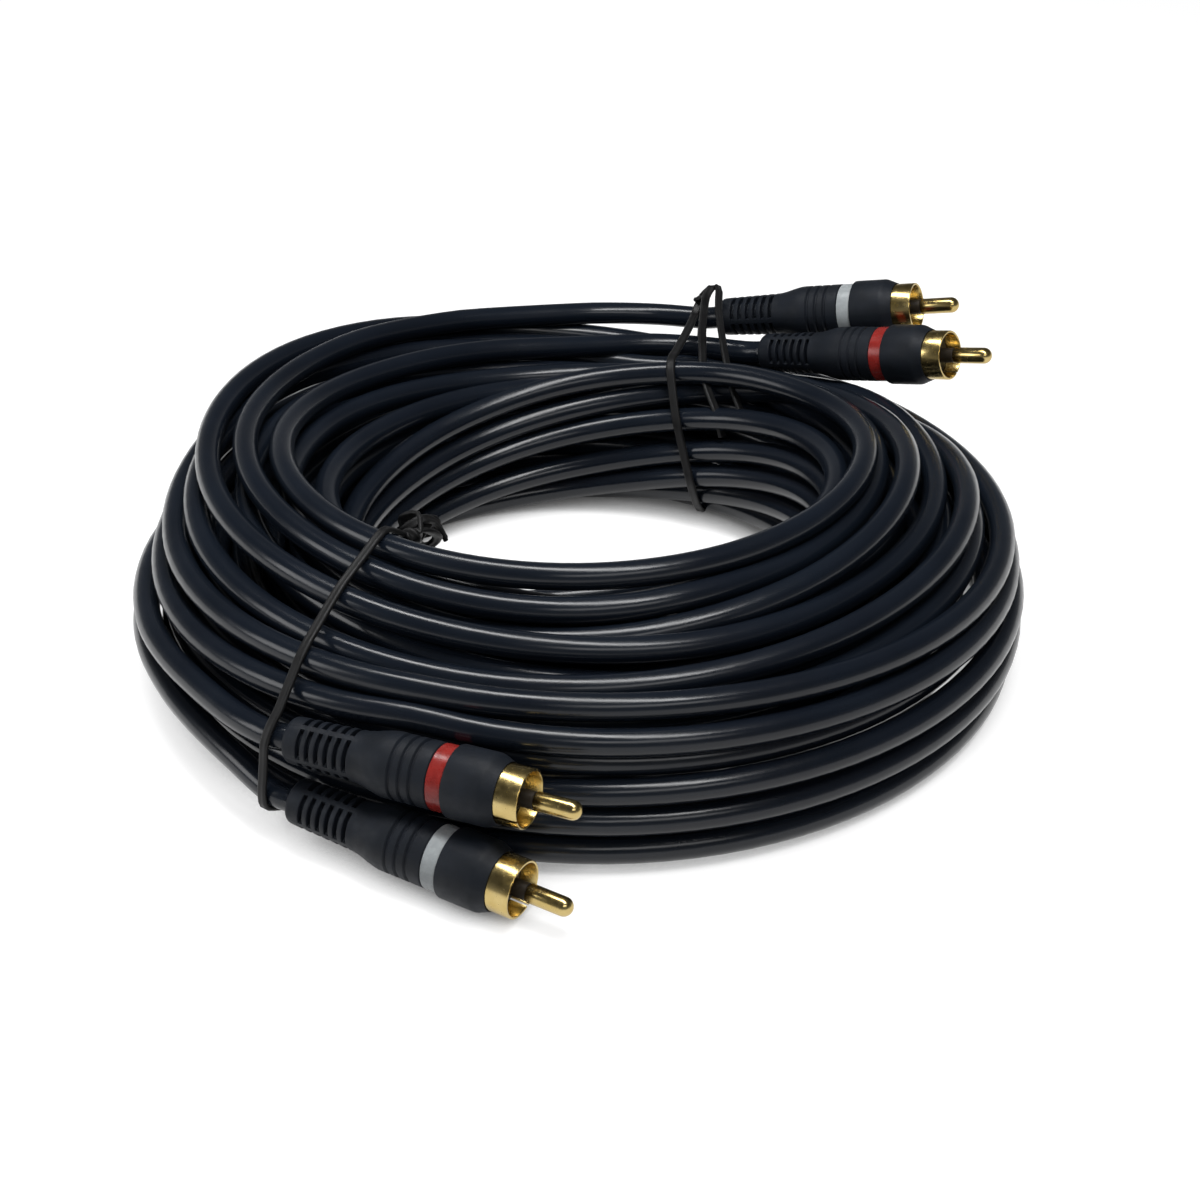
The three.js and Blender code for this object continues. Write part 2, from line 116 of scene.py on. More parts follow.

# %% [markdown]
# The coil is the heart of the picture. Each cord is sold as 7.62 m long and makes 19 turns and a third.
# A simulated rope could be wound up here, but it takes long and never lands where the picture has it.
# So the turns are laid out in a list, one row for each turn, and a cord runs from row to row. A row holds
# the red channel's cord and then the white channel's. Each is four places of (radius, height), at the
# front, the left, the back and the right, because a turn of a hand-wound coil is never a true circle
# about the middle. The first row leaves the back plugs, on top. The list then goes down the inner wall,
# out along the table, to and fro through the middle, over the crown and down the outside, where the
# last row meets the front plugs.

# %% Rings of the coil
RINGS = [
    (((48.7, 37.0), (55.0, 37.0), (62.5, 26.0), (53.0, 37.4)),
     ((53.5, 32.5), (61.2, 36.5), (75.5, 28.3), (54.6, 32.8))),
    (((44.2, 30.4), (43.4, 18.0), (47.0, 27.9), (47.6, 32.0)),
     ((43.8, 25.4), (43.4, 12.8), (44.6, 22.4), (47.6, 26.6))),
    (((43.8, 20.0), (43.6, 8.0), (43.8, 17.4), (47.4, 21.2)),
     ((43.4, 14.6), (44.5, 3.0), (43.5, 9.4), (46.2, 15.6))),
    (((43.6, 9.0), (50.2, 2.4), (43.4, 4.4), (45.0, 9.8)),
     ((45.2, 3.6), (55.2, 2.4), (48.4, 2.4), (46.0, 4.2))),
    (((51.0, 2.4), (60.2, 2.4), (53.0, 2.4), (51.5, 2.4)),
     ((56.6, 2.4), (65.2, 2.4), (57.4, 2.4), (57.0, 2.4))),
    (((62.2, 2.4), (70.2, 2.5), (61.8, 2.4), (62.5, 2.4)),
     ((67.8, 2.4), (70.2, 7.8), (66.4, 2.4), (68.0, 2.4))),
    (((68.5, 7.9), (65.2, 7.7), (71.1, 2.4), (68.4, 7.9)),
     ((62.9, 7.9), (60.2, 7.7), (68.6, 7.2), (62.8, 7.9))),
    (((57.3, 7.9), (55.2, 7.8), (63.6, 7.3), (57.2, 7.9)),
     ((51.6, 8.2), (50.2, 8.0), (58.4, 7.4), (51.6, 8.2))),
    (((49.8, 13.8), (49.8, 13.9), (53.2, 7.5), (51.8, 13.9)),
     ((55.4, 13.5), (54.6, 13.5), (49.0, 12.8), (57.4, 13.6))),
    (((61.0, 13.5), (59.4, 13.4), (54.0, 12.5), (63.2, 13.5)),
     ((66.6, 13.3), (64.4, 13.3), (59.2, 12.5), (69.0, 13.5))),
    (((72.6, 12.8), (69.4, 13.2), (64.4, 12.3), (69.0, 19.0)),
     ((69.4, 17.8), (67.4, 18.6), (69.6, 12.3), (63.4, 19.2))),
    (((64.2, 18.6), (62.2, 18.8), (69.2, 17.3), (57.8, 19.4)),
     ((59.0, 18.8), (57.0, 19.0), (64.0, 17.6), (52.4, 18.7))),
    (((53.8, 19.2), (51.8, 19.4), (58.6, 17.9), (53.2, 23.4)),
     ((49.0, 21.2), (48.0, 22.8), (52.6, 18.8), (53.4, 28.2))),
    (((48.9, 31.4), (47.0, 28.2), (51.4, 24.0), (58.8, 25.4)),
     ((56.8, 28.2), (53.5, 31.0), (56.4, 23.6), (59.6, 36.4))),
    (((62.6, 24.6), (61.0, 31.0), (61.6, 21.4), (66.6, 23.4)),
     ((67.2, 26.4), (70.8, 29.0), (69.6, 22.2), (71.2, 30.6))),
    (((73.5, 28.0), (74.8, 24.0), (75.0, 22.1), (78.5, 22.0)),
     ((60.5, 30.2), (68.2, 34.0), (80.4, 23.2), (65.7, 28.0))),
    (((78.0, 23.3), (76.8, 18.5), (80.4, 18.5), (79.2, 17.3)),
     ((70.6, 22.2), (69.9, 24.2), (74.4, 17.2), (72.5, 24.8))),
    (((80.6, 15.6), (74.8, 13.8), (79.8, 13.8), (80.4, 12.6)),
     ((77.0, 18.8), (72.0, 19.0), (74.8, 12.2), (75.4, 14.6))),
    (((80.6, 9.7), (75.4, 9.6), (73.8, 7.2), (80.2, 7.3)),
     ((80.2, 4.0), (74.6, 4.9), (75.8, 2.5), (78.6, 2.5))),
    (((80.6, 9.7), (79.0, 12.7), (80.2, 9.1), (80.2, 7.3)),
     ((80.2, 4.0), (80.4, 7.8), (80.4, 4.4), (78.6, 2.5))),
]
# Some turns also bulge outward and up at the back left, and two dip at the back right, below the plugs.
# Each is set by (row, cord) and adds to the radius and the height.
BULGES = {(13, 1): (1.6, 1.5), (14, 0): (2.3, 4.0), (14, 1): (3.1, 7.5),
          (15, 0): (2.8, 7.0), (15, 1): (1.5, 6.0), (16, 0): (0.5, 3.0)}
DIPS = {(13, 1): (0.0, -3.0), (14, 1): (0.5, -6.5)}
EXTRA_BY_QUARTER = {0: DIPS, 1: BULGES}
# A station is a place every so many degrees round the coil.
STATION = 10
STATIONS = 360 // STATION
FIRST_ANGLE = 90
LAST_ANGLE = 200 + 360 * (len(RINGS) - 1)
print("rows of turns", len(RINGS), "stations in a turn", STATIONS)


# %% From row to row
def ring_at(values, angle):
    """A smooth closed curve through four values, at the front, the left, the back and the right."""
    front, left, back, right = values
    return ((front + left + back + right) / 4 + (right - left) / 2 * np.cos(angle)
            + (back - front) / 2 * np.sin(angle) + (right + left - back - front) / 4 * np.cos(2 * angle))


def laid_turns():
    """Radius and height of both cords at each station, still without regard to their thickness."""
    degrees = np.arange(FIRST_ANGLE, LAST_ANGLE + 1, STATION)
    ring = (degrees - FIRST_ANGLE) // 360
    share = np.clip((degrees - FIRST_ANGLE - 360 * ring - 270) / 90, 0, 1)
    share = share * share * (3 - 2 * share)
    angle = np.radians(degrees)
    cords = np.zeros((2, len(degrees), 2))
    for i in range(len(degrees)):
        extras = EXTRA_BY_QUARTER.get(int(degrees[i]) % 360 // 90, {})
        for which in (0, 1):
            for row, weight in ((ring[i], 1 - share[i]), (min(ring[i] + 1, len(RINGS) - 1), share[i])):
                places = RINGS[row][which]
                cords[which, i, 0] += weight * ring_at([p[0] for p in places], angle[i])
                cords[which, i, 1] += weight * ring_at([p[1] for p in places], angle[i])
            extra = np.array(extras.get((int(ring[i]), which), (0, 0)))
            cords[which, i] += math.sin(2 * angle[i]) ** 2 * extra
    return degrees, cords


degrees, laid = laid_turns()
print("stations on each cord", len(degrees), "turns", round((LAST_ANGLE - FIRST_ANGLE) / 360, 2))

# %% [markdown]
# Laid out like this, cords would run into each other. The next cells let them settle: a loop goes round
# a few hundred times, and each time it smooths each cord a little, draws it back towards its row, and
# pushes apart any two cords that are closer than one diameter. The plugs and leads push as well, and
# the table and the coil's outer size are walls. It is the cheap cousin of a rope simulation, it has no
# chance in it, and it takes seconds. It isn't perfect: at the tightest crossings two cords still overlap
# by a little over a millimetre. The last print below gives the closest pair at the stations.

# %% Solid things in the way
BOOT_REAR, BOOT_FRONT, BOOT_LENGTH = 7.8, 8.6, 12.7
TAPER_LENGTH = 6.6
GRIP, GRIP_LENGTH = 11.0, 8.05
BAND_WIDTH = 2.95
HEAD, HEAD_LENGTH = 12.0, 8.85
SHELL, SHELL_REACH = 9.8, 4.0
PIN, PIN_REACH = 3.2, 9.0
TAPER_END = BOOT_LENGTH + TAPER_LENGTH
GRIP_END = TAPER_END + GRIP_LENGTH
BAND_END = GRIP_END + BAND_WIDTH
HEAD_END = BAND_END + HEAD_LENGTH
RIM = HEAD_END + SHELL_REACH
PIN_TIP = RIM + PIN_REACH


def plug_capsules(plug):
    rear, _, _, aim = plug_axes(plug)
    spans = [(0, BOOT_LENGTH, BOOT_FRONT / 2), (BOOT_LENGTH, TAPER_END, GRIP / 2 - 0.3),
             (TAPER_END, HEAD_END - 3, HEAD / 2), (HEAD_END, RIM, SHELL / 2), (RIM, PIN_TIP, PIN / 2)]
    return [(rear + start * aim, rear + end * aim, radius) for start, end, radius in spans]


def lead_points(plug):
    rear, _, _, aim = plug_axes(plug)
    return np.array([rear + 1.5 * aim, rear - 0.35 * aim, rear - (CORD + 0.35) * aim, *plug["lead"]])


CAPSULES = [capsule for plug in PLUGS.values() for capsule in plug_capsules(plug)]
LEADS = {name: lead_points(plug) for name, plug in PLUGS.items()}
OWN_LEADS = [("front_red", "back_red"), ("front_white", "back_white")]
print("plug capsules", len(CAPSULES))

# %% What passes each station
ROUNDS, CALM_ROUNDS = 260, 50
PULL, SMOOTHING, PUSH = 0.12, 0.2, 0.42
WALL_IN, WALL_OUT, WALL_TOP = 41.0, 83.0, 39.4
OWN_LEAD_STATIONS = 4
# The first and last places of the red cord (0) and the white cord (1), where they meet their leads.
ENDS = {(0, 0): (66.0, 27.0), (0, 1): (63.5, 28.0), (1, 0): (79.8, 28.8), (1, 1): (78.0, 29.4),
        (0, -1): (81.4, 15.0), (0, -2): (81.0, 14.2), (0, -3): (80.6, 13.6),
        (1, -1): (81.9, 10.2), (1, -2): (81.4, 9.6), (1, -3): (80.9, 9.0)}


def station_table():
    """For each station, the cord and index of every turn that passes it, and which entries are real."""
    station = (degrees // STATION) % STATIONS
    groups = [[(c, i) for c in (0, 1) for i in np.flatnonzero(station == s)] for s in range(STATIONS)]
    width = max(len(group) for group in groups)
    table = np.zeros((STATIONS, width, 2), int)
    real = np.zeros((STATIONS, width), bool)
    for s, group in enumerate(groups):
        table[s, :len(group)] = group
        real[s, :len(group)] = True
    return table, real


print("cords side by side at one station", station_table()[1].sum(1).max())


# %% What pushes a cord
def push_from(points, start, end, radius):
    """How far each point must move to lie outside a round bar."""
    along = end - start
    share = np.clip(((points - start) @ along) / (along @ along), 0, 1)
    away = points - (start + share[:, None] * along)
    distance = np.linalg.norm(away, axis=1)
    lack = np.clip(radius + CORD / 2 - distance, 0, None)
    return away / np.maximum(distance, 1e-6)[:, None] * lack[:, None]


def push_from_plugs(place, outward):
    """How far each station must move to clear the plugs and the leads, except a cord's own lead."""
    count = place.shape[1]
    solid = place[..., :1] * outward
    solid[..., 2] = place[..., 1]
    flat = solid.reshape(-1, 3)
    shove = np.zeros_like(flat)
    for start, end, radius in CAPSULES:
        shove += push_from(flat, start, end, radius)
    for name, points in LEADS.items():
        part = np.zeros_like(flat)
        for start, end in zip(points[1:-1], points[2:]):
            part += push_from(flat, start, end, CORD / 2)
        own = 0 if "red" in name else 1
        near = slice(0, OWN_LEAD_STATIONS) if "back" in name else slice(count - OWN_LEAD_STATIONS, count)
        part.reshape(2, count, 3)[own, near] = 0
        shove += part
    return shove.reshape(2, count, 3)


top = np.array([0.0, 0.0, 1.0])
pushed = push_from(np.array([[2.0, 0.0, 0.0]]), 0 * top, top, 2)
print("a point on the skin of a 2 mm bar moves by", pushed[0].round(2))


# %% Letting the turns settle
def settle(laid):
    home = laid.copy()
    for (which, i), spot in ENDS.items():
        home[which, i] = spot
    place = laid.copy()
    table, real = station_table()
    both = real[:, :, None] & real[:, None, :] & ~np.eye(real.shape[1], dtype=bool)
    angle = np.tile(np.radians(degrees), (2, 1))
    outward = np.stack([np.cos(angle), np.sin(angle), 0 * angle], -1)
    for step in range(ROUNDS):
        pull = PULL * min(1, (ROUNDS - step) / CALM_ROUNDS)
        bend = np.zeros_like(place)
        bend[:, 1:-1] = (place[:, :-2] + place[:, 2:]) / 2 - place[:, 1:-1]
        place = place + SMOOTHING * bend + pull * (home - place)
        spots = place[table[..., 0], table[..., 1]]
        apart = spots[:, :, None] - spots[:, None, :]
        distance = np.linalg.norm(apart, axis=-1) + 1e-9
        lack = np.where(both, np.clip(CORD - distance, 0, None), 0)
        move = (PUSH * lack / distance)[..., None] * apart
        np.add.at(place, (table[..., 0][real], table[..., 1][real]), move.sum(2)[real])
        shove = push_from_plugs(place, outward)
        place[..., 0] += (shove * outward).sum(-1)
        place[..., 1] += shove[..., 2]
        place[..., 0] = np.clip(place[..., 0], WALL_IN + CORD / 2, WALL_OUT - CORD / 2)
        place[..., 1] = np.clip(place[..., 1], CORD / 2 + 0.02, WALL_TOP - CORD / 2)
        for (which, i), spot in ENDS.items():
            place[which, i] = spot
    worst = np.where(both, distance, 99).min()
    print("closest two cords in mm", round(float(worst), 2), "of", CORD)
    return place


settled = settle(laid)

# %% [markdown]
# A cord is drawn as a curve with a round bevel, because a curve keeps its own line, and its length can
# be measured from it. Its points are the settled stations with two more between each pair, set on a
# cubic, so that the turns stay round. The lead joins on through the last stations, also on a cubic.

# %% The line of a cord
FINER, JOIN_FINER = 3, 4
FIRST_STATION = (1, 2)


def cubic(points, finer):
    """Points on the Catmull-Rom curve through these."""
    padded = np.concatenate([[2 * points[0] - points[1]], points, [2 * points[-1] - points[-2]]])
    before, here, after, beyond = padded[:-3], padded[1:-2], padded[2:-1], padded[3:]
    rows = []
    for share in np.arange(finer) / finer:
        rows.append(0.5 * (2 * here + (after - before) * share
                           + (2 * before - 5 * here + 4 * after - beyond) * share ** 2
                           + (3 * here - before - 3 * after + beyond) * share ** 3))
    curve = np.stack(rows, 1).reshape(-1, points.shape[1])
    return np.concatenate([curve, points[-1:]])


def cord_line(which):
    front_name, back_name = OWN_LEADS[which]
    first = FIRST_STATION[which]
    cylinder = np.column_stack([degrees, settled[which]])
    fine = cubic(cylinder[first:-1], FINER)
    turns = polar(fine[:, 0], fine[:, 1], fine[:, 2])
    stations = polar(cylinder[:, 0], cylinder[:, 1], cylinder[:, 2])
    start = cubic(np.concatenate([LEADS[back_name], stations[first:first + 2]]), JOIN_FINER)
    end = cubic(np.concatenate([stations[-3:], LEADS[front_name][::-1]]), JOIN_FINER)
    return np.concatenate([start[:-JOIN_FINER - 1], turns, end[JOIN_FINER + 1:]])


lines = [cord_line(0), cord_line(1)]
print("points on each cord", [len(line) for line in lines])

# %% [markdown]
# The tube's thickness is the bevel depth times the radius of each point. Blender's box of a curve adds
# only the points' radius, so the usual radius of 1 would put a metre of air round the cord. With a depth
# of 1 and the cord's own radius at each point, the tube is the same and the box comes out true.

# %% The two cords
CORD_SIDES = 14


def curve_object(name, line, radius, sides):
    data = bpy.data.curves.new(name, "CURVE")
    data.dimensions = "3D"
    data.bevel_depth = 1.0
    data.bevel_resolution = (sides - 4) // 2
    data.use_fill_caps = True
    spline = data.splines.new("POLY")
    spline.points.add(len(line) - 1)
    placed = (line + RING_CENTRE) * MM
    spline.points.foreach_set("co", np.column_stack([placed, np.ones(len(line))]).ravel())
    spline.points.foreach_set("radius", np.full(len(line), radius * MM))
    spline.use_smooth = True
    made = bpy.data.objects.new(name, data)
    bpy.context.scene.collection.objects.link(made)
    return made


cords = []
for which, channel in enumerate(("red", "white")):
    line = lines[which]
    made = curve_object(f"{channel}_channel_cord", line, CORD / 2, CORD_SIDES)
    cords.append(made)
    run = np.linalg.norm(np.diff(line, axis=0), axis=1).sum() * MM
    print(made.name, "points", len(line), "length in m", round(run, 3))

# %% [markdown]
# From here on pieces are meshes. Those on the plugs are turned or moulded about an axis, so one function
# makes them all: it sweeps an outline of (radius, station) points round the plug's axis. A second
# function may change the radius by angle and station, which cuts slots in the same mesh and keeps it
# one closed skin of quads. A boolean cut would do it too, but leaves long thin faces that shade badly.

# %% A mesh from its corners
def add_mesh(name, vertices, faces, smooth_angle=35):
    mesh = bpy.data.meshes.new(name)
    mesh.from_pydata([tuple(v) for v in vertices], [], faces)
    mesh.update()
    made = bpy.data.objects.new(name, mesh)
    bpy.context.scene.collection.objects.link(made)
    mesh.shade_smooth()
    mesh.set_sharp_from_angle(angle=math.radians(smooth_angle))
    return made


print("meshes so far", len(bpy.data.meshes))


# %% Turned pieces
def turned(name, outline, plug, angles, cut=None):
    """A closed outline swept about the plug's axis; angles are in degrees from the plug's top."""
    rear, up, side, aim = plug_axes(plug)
    roll = math.radians(plug["roll"])
    across = math.cos(roll) * up + math.sin(roll) * side
    over = np.cross(aim, across)
    rows = []
    for radius, station in outline:
        sizes = np.full(len(angles), float(radius)) if cut is None else cut(radius, station, angles)
        turn = np.radians(angles)
        ring = rear + station * aim + sizes[:, None] * (
            np.cos(turn)[:, None] * across + np.sin(turn)[:, None] * over)
        rows.append((ring + RING_CENTRE) * MM)
    vertices = np.concatenate(rows)
    round_count, row_count = len(angles), len(outline)
    faces = []
    for i in range(row_count):
        j = (i + 1) % row_count
        for k in range(round_count):
            m = (k + 1) % round_count
            faces.append((i * round_count + k, i * round_count + m,
                          j * round_count + m, j * round_count + k))
    return add_mesh(name, vertices, faces)


def arc(radius, station, size, start, end, count):
    turn = np.radians(np.linspace(start, end, count + 1))
    return [(radius + size * math.cos(t), station + size * math.sin(t)) for t in turn]


EVEN = np.arange(0, 360, 5.0)
print("faces round a turned piece", len(EVEN))

# %% [markdown]
# The plug's body is PVC, moulded over the soldered end of the cord. Its boot has six ring slots on each
# side, which let it bend without kinking the cord, and four straight webs that tie the rings together.
# Then it widens to a grip with three fine grooves, a seat for the coloured band, and the head.

# %% Slots and webs of the boot
SLOTS, FIRST_SLOT, SLOT_PITCH, SLOT_WIDTH = 6, 2.9, 1.75, 0.8
SLOT_FLOOR = CORD / 2 + 0.6
WEBS, WEB_WIDTH = 4, 0.85
WEB_HALF = math.degrees(WEB_WIDTH / 2 / (BOOT_REAR / 2))
WEB_EDGE, WEB_CLEAR = 1.6, 3.4


def web_angles():
    """Angles round the boot, close together where a web's edges are."""
    inside = np.linspace(WEB_HALF + WEB_CLEAR, 90 - WEB_HALF - WEB_CLEAR, 14)
    quarter = np.concatenate([[0, WEB_HALF, WEB_HALF + WEB_EDGE], inside,
                              [90 - WEB_HALF - WEB_EDGE, 90 - WEB_HALF]])
    return np.concatenate([quarter + 90 * q for q in range(WEBS)])


def in_slot(angles):
    """1 in a slot and 0 on a web, for each angle."""
    offset = np.abs((angles + 45) % 90 - 45)
    return np.clip((offset - WEB_HALF - 0.1) / (WEB_EDGE - 0.1), 0, 1)


print("angles round a boot", len(web_angles()), "of them in slots", int((in_slot(web_angles()) == 1).sum()))

# %% Outline of a moulded body
GROOVES, FIRST_GROOVE, GROOVE_PITCH, GROOVE_WIDTH, GROOVE_DEPTH = 3, 1.2, 1.9, 0.6, 0.35
EDGE = 0.13
BAND_RECESS, BAND_THICKNESS = 0.5, 0.6
CHAMFER_LENGTH, CHAMFER_DEPTH = 2.1, 0.9
SEAT = 0.1


def boot_radius(station):
    share = min(max(station / BOOT_LENGTH, 0), 1)
    return (BOOT_REAR + (BOOT_FRONT - BOOT_REAR) * share) / 2


def body_outline():
    rows = arc(BOOT_REAR / 2 - 0.8, 0.8, 0.8, -90, 0, 4)
    for i in range(SLOTS):
        start = FIRST_SLOT + i * SLOT_PITCH
        end = start + SLOT_WIDTH
        rows += [(boot_radius(start), start - EDGE), (boot_radius(start) - EDGE * 0.6, start - 0.02),
                 ("floor", start), ("floor", end),
                 (boot_radius(end) - EDGE * 0.6, end + 0.02), (boot_radius(end), end + EDGE)]
    rows.append((BOOT_FRONT / 2, BOOT_LENGTH))
    for share in np.linspace(0.1, 1, 10):
        rise = share * share * (3 - 2 * share)
        rows.append(((BOOT_FRONT + (GRIP - BOOT_FRONT) * rise) / 2, BOOT_LENGTH + TAPER_LENGTH * share))
    for i in range(GROOVES):
        start = TAPER_END + FIRST_GROOVE + i * GROOVE_PITCH
        end = start + GROOVE_WIDTH
        middle = (start + end) / 2
        rows += [(GRIP / 2, start - 0.12), (GRIP / 2 - 0.1, start), (GRIP / 2 - GROOVE_DEPTH, middle - 0.12),
                 (GRIP / 2 - GROOVE_DEPTH, middle + 0.12), (GRIP / 2 - 0.1, end), (GRIP / 2, end + 0.12)]
    seat = HEAD / 2 - BAND_RECESS - BAND_THICKNESS - SEAT
    rows += [(GRIP / 2, GRIP_END - 0.15), (GRIP / 2 - 0.15, GRIP_END), (seat, GRIP_END), (seat, BAND_END),
             (HEAD / 2 - 0.25, BAND_END), (HEAD / 2 - 0.07, BAND_END + 0.07), (HEAD / 2, BAND_END + 0.25)]
    bend = HEAD_END - CHAMFER_LENGTH
    rows += [(HEAD / 2, bend - 0.5), (HEAD / 2 - 0.02, bend - 0.25), (HEAD / 2 - 0.07, bend),
             (HEAD / 2 - 0.17, bend + 0.3), (HEAD / 2 - 0.3, bend + 0.6)]
    rows += [(HEAD / 2 - CHAMFER_DEPTH + 0.06, HEAD_END - 0.25), (HEAD / 2 - CHAMFER_DEPTH, HEAD_END - 0.04),
             (SHELL / 2 + SEAT + 0.04, HEAD_END), (SHELL / 2 + SEAT, HEAD_END - 0.08),
             (SHELL / 2 + SEAT, HEAD_END - 1.2), (CORD / 2 + SEAT, HEAD_END - 1.2), (CORD / 2 + SEAT, 0)]
    return rows


print("points in the outline", len(body_outline()))


# %% Moulded plug bodies
def slot_cut(radius, station, angles):
    if radius != "floor":
        return np.full(len(angles), radius)
    full = boot_radius(station)
    return full + (SLOT_FLOOR - full) * in_slot(angles)


def smooth_slot_cut(radius, station, angles):
    """The rounded edges of the slots end at the webs."""
    sizes = slot_cut(radius, station, angles)
    if radius != "floor" and FIRST_SLOT - 1 < station < BOOT_LENGTH and radius < boot_radius(station) - 0.01:
        sizes = boot_radius(station) + (sizes - boot_radius(station)) * in_slot(angles)
    return sizes


bodies = {}
for name, plug in PLUGS.items():
    made = turned(f"{name}_overmould", body_outline(), plug, web_angles(), smooth_slot_cut)
    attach(made, "root")
    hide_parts(f"{name}_body")
    bodies[name] = made
print("faces in one body", len(bodies["front_red"].data.polygons))

# %% [markdown]
# The coloured band tells the channels apart. It is a glossy ring of ABS that sits in the seat behind
# the head, half a millimetre below its surface. The ground shell and the pin are brass, turned and gold
# plated. The shell is thin and has one slit along it, so that it springs over the socket. Its solder
# barrel lies inside the moulded body, where no picture shows it, so only the CAD model has it.

# %% Bands
def band(name, plug):
    outer = HEAD / 2 - BAND_RECESS
    inner = outer - BAND_THICKNESS
    start, end = GRIP_END + SEAT, BAND_END - SEAT
    rows = [(inner, start), (outer - 0.12, start), (outer, start + 0.12), (outer, end - 0.12),
            (outer - 0.12, end), (inner, end)]
    return turned(name, rows, plug, EVEN)


print("band width in mm", BAND_WIDTH)

# %% Ground shells
SHELL_WALL = 0.45
SHELL_SEAT_DEPTH = 6.5
SHELL_BACK_WALL = 0.8
SLIT_WIDTH = 0.5


def shell_angles():
    half = math.degrees(SLIT_WIDTH / 2 / (SHELL / 2))
    return np.concatenate([[half], np.linspace(half + 1.5, 360 - half - 1.5, 72), [360 - half]])


def shell(name, plug):
    """A thin cup whose wall stops at both edges of the slit, and whose slit ends inside the head."""
    outer, inner = SHELL / 2, SHELL / 2 - SHELL_WALL
    floor = HEAD_END - SHELL_SEAT_DEPTH + SHELL_BACK_WALL
    rows = [(inner, floor), (outer, floor), (outer, HEAD_END), (outer, RIM - 0.12),
            (outer - 0.06, RIM - 0.03), (outer - 0.14, RIM), (inner + 0.14, RIM),
            (inner + 0.06, RIM - 0.03), (inner, RIM - 0.12)]
    made = turned(name, rows, plug, shell_angles())
    count = len(shell_angles())
    mesh = made.data
    seam = [i for i, face in enumerate(mesh.polygons)
            if {v % count for v in face.vertices} == {0, count - 1}]
    vertices = [tuple(v.co) for v in mesh.vertices]
    faces = [tuple(f.vertices) for i, f in enumerate(mesh.polygons) if i not in seam]
    rows_count = len(rows)
    faces.append(tuple(i * count for i in range(rows_count)))
    faces.append(tuple(i * count + count - 1 for i in reversed(range(rows_count))))
    bpy.data.objects.remove(made)
    return add_mesh(name, vertices, faces)


print("shell wall in mm", SHELL_WALL)

# %% Insulators and pins
INSULATOR_RECESS = 3.0
COLLAR, COLLAR_REACH = 2.9, 1.0
PIN_NECK = 1.8
PIN_ROOT_DEPTH = 12
AXIS_GAP = 0.02


def insulator(name, plug):
    disc = SHELL / 2 - SHELL_WALL - SEAT
    front = RIM - INSULATOR_RECESS
    back = HEAD_END - SHELL_SEAT_DEPTH + SHELL_BACK_WALL + SEAT
    bore = PIN_NECK / 2 + SEAT
    collar = COLLAR / 2
    rows = [(bore, back), (disc, back), (disc, front - 0.2), (disc - 0.2, front), (collar, front),
            (collar, RIM + COLLAR_REACH - 0.12), (collar - 0.12, RIM + COLLAR_REACH),
            (bore, RIM + COLLAR_REACH)]
    return turned(name, rows, plug, EVEN)


def pin(name, plug):
    radius = PIN / 2
    root = RIM + COLLAR_REACH + SEAT
    dome = arc(0, PIN_TIP - radius, radius, 0, 84, 8)
    rows = [(AXIS_GAP, root - PIN_ROOT_DEPTH), (PIN_NECK / 2, root - PIN_ROOT_DEPTH), (PIN_NECK / 2, root),
            (radius - 0.3, root), (radius - 0.1, root + 0.06), (radius, root + 0.3), *dome,
            (AXIS_GAP, PIN_TIP)]
    return turned(name, rows, plug, EVEN)


print("pin diameter in mm", PIN)

# %% Parts onto each plug
plug_parts = {}
PIECES = [("band", "colour_band", band, None), ("shell", "ground_shell", shell, "contact"),
          ("insulator", "insulating_disc", insulator, "insulator"), ("pin", "centre_pin", pin, "contact")]
for name, plug in PLUGS.items():
    plug_parts[name] = {}
    for node, label, make, slot in PIECES:
        made = make(f"{name}_{label}", plug)
        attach(made, "root")
        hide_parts(f"{name}_{node}")
        plug_parts[name][node] = made
print("pieces on each plug", len(PIECES) + 2)

# %% [markdown]
# The ties are two thin wires in one black plastic coat, so their section is a dumb-bell about 1.8 mm
# wide. Each one runs round the bundle at one place, pulled tight, and its ends are twisted together.
# To find where it runs, the cords that pass that place are drawn as circles on a cut through the coil,
# and the tie follows the rubber band round them, their convex hull. The crown, foot and outer angles say
# where round the coil the tie passes the bundle's top, its inner foot and its outside.

# %% Where the ties run
TIE_WIDE, TIE_THICK = 1.8, 0.9
TIE_INNER, TIE_SWING = 40.0, 0.6
TIE_REACH = 2.5
TIES = {
    "front_tie": dict(crown=225.5, outer=234.2, foot=227, meet=(47, 39), pitch=3.2, turns=1.0,
                      aim=(0.78, 0.52, -0.28),
                      tails=[[(-25.6, -27.4, 36.2), (-24.6, -25.8, 33.6), (-27.6, -24.8, 31.8),
                              (-30.8, -27.6, 33), (-30.2, -31.2, 36), (-27, -30.4, 37.8),
                              (-25, -27.2, 35.4), (-23.4, -26.6, 31.8)],
                             [(-27.8, -29.4, 38), (-30.6, -28, 36.6), (-30.4, -25.6, 33),
                              (-27, -27.4, 30.8), (-24.6, -29, 33.6), (-26.4, -31.8, 36.4),
                              (-29.6, -32.6, 36.2), (-31.4, -30, 33)]]),
    "back_tie": dict(crown=69, outer=72.5, foot=51, meet=(79, 33), pitch=3, turns=0.5,
                     aim=(0.3, -0.1, 0.95),
                     tails=[[(27.2, 74.6, 36.8), (26, 72, 35.6), (25, 62, 34.7), (24.6, 55, 33.6),
                             (24.5, 46, 31), (25.3, 41, 28.7), (27, 37, 25.4), (28.1, 35, 21.1)],
                            [(28.6, 74.8, 36.8), (28.4, 66, 35.2), (28.8, 54, 33.4), (29.5, 46, 30.9),
                             (30.7, 40, 28), (33.1, 36, 22.6)]]),
}


